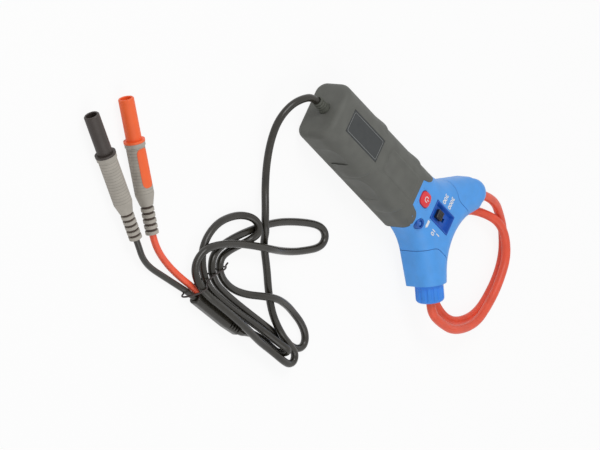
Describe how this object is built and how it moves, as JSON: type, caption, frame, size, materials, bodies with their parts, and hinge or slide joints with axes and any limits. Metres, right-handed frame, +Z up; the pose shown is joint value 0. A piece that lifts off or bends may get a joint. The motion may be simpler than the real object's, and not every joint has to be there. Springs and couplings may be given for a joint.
{
  "type": "flexible-coil current probe",
  "caption": "Flexible-coil current probe with a flat grip, Y-shaped head, locking coil loop, range slide, power button and an output lead ending in shrouded test plugs.",
  "frame": {"origin": "on the flat back of the grip, on the centre line, 72 mm from the end where the cord leaves", "axes": "+X along the grip towards the coil, +Y towards the arm that holds the coil's root, +Z up through the face with the button; it lies on its back"},
  "size_m": [0.3492, 0.1851, 0.0263],
  "materials": {
    "grip_grey": "fine moulded grain",
    "head_blue": "fine moulded grain",
    "lock_blue": "satin, fluted",
    "coil_red": "smooth sleeve",
    "button_red": "satin with a printed white symbol",
    "bezel_blue": "satin",
    "slider_black": "satin, ribbed",
    "switch_body": "plain",
    "lamp_ring": "satin",
    "lamp_lens": "clear gloss",
    "label_grey": "blank film",
    "cord_black": "soft matte sheath",
    "lead_red": "soft satin sheath",
    "plug_grey": "moulded, ribbed tail",
    "shroud_black": "satin",
    "shroud_orange": "satin",
    "pin_metal": "nickel plate",
    "steel": "zinc plate",
    "cell_wrap": "plain shrink sleeve",
    "board_green": "solder mask",
    "tie_black": "coated wire"
  },
  "bodies": {
    "housing": {"handle_front_grip": "grip_grey", "handle_rear_grip": "grip_grey", "battery_door": "grip_grey", "battery_door_screw": "steel", "grip_screw_1": "steel", "grip_screw_2": "steel", "grip_screw_3": "steel", "grip_screw_4": "steel", "head_screw_1": "steel", "head_screw_2": "steel", "head_screw_3": "steel", "battery_cell_left": "cell_wrap", "battery_cell_right": "cell_wrap", "battery_contact_front": "steel", "battery_contact_rear": "steel", "upper_arm_shell": "head_blue", "lower_arm_shell": "head_blue", "head_front_shell": "head_blue", "head_rear_shell": "head_blue", "coil_root_cap": "head_blue", "root_ferrule": "slider_black", "coil_plug": "slider_black", "circuit_board": "board_green", "tact_switch": "switch_body", "slide_switch_body": "switch_body", "switch_bezel": "bezel_blue", "led_bezel": "lamp_ring", "led_lens": "lamp_lens", "label_plate": "label_grey", "cord_boot": "cord_black", "cord_splitter": "cord_black", "black_plug_grip": "plug_grey", "black_plug_shroud": "shroud_black", "black_plug_pin": "pin_metal", "red_plug_grip": "plug_grey", "red_plug_shroud": "shroud_orange", "red_plug_pin": "pin_metal", "red_plug_window": "shroud_orange", "sensing_coil": "coil_red", "output_cord": "cord_black", "black_lead": "cord_black", "red_lead": "lead_red", "wire_tie": "tie_black"},
    "button": {"power_button": "button_red"},
    "slider": {"range_slider": "slider_black"},
    "collar": {"lock_collar": "lock_blue"}
  },
  "joints": [
    {"name": "power_button_press", "type": "slide", "parent": "housing", "child": "button", "axis": [0, 0, -1], "range_m": [0, 0.0008], "stiffness_N_per_m": 300, "springref_m": -0.0005},
    {"name": "range_slide", "type": "slide", "parent": "housing", "child": "slider", "axis": [1, 0, 0], "range_m": [0, 0.005]},
    {"name": "lock_collar_turn", "type": "hinge", "parent": "housing", "child": "collar", "pos_m": [0.031, 0, 0.0152], "axis": [0.7009, -0.7133, 0], "range_deg": [0, 90]}
  ]
}
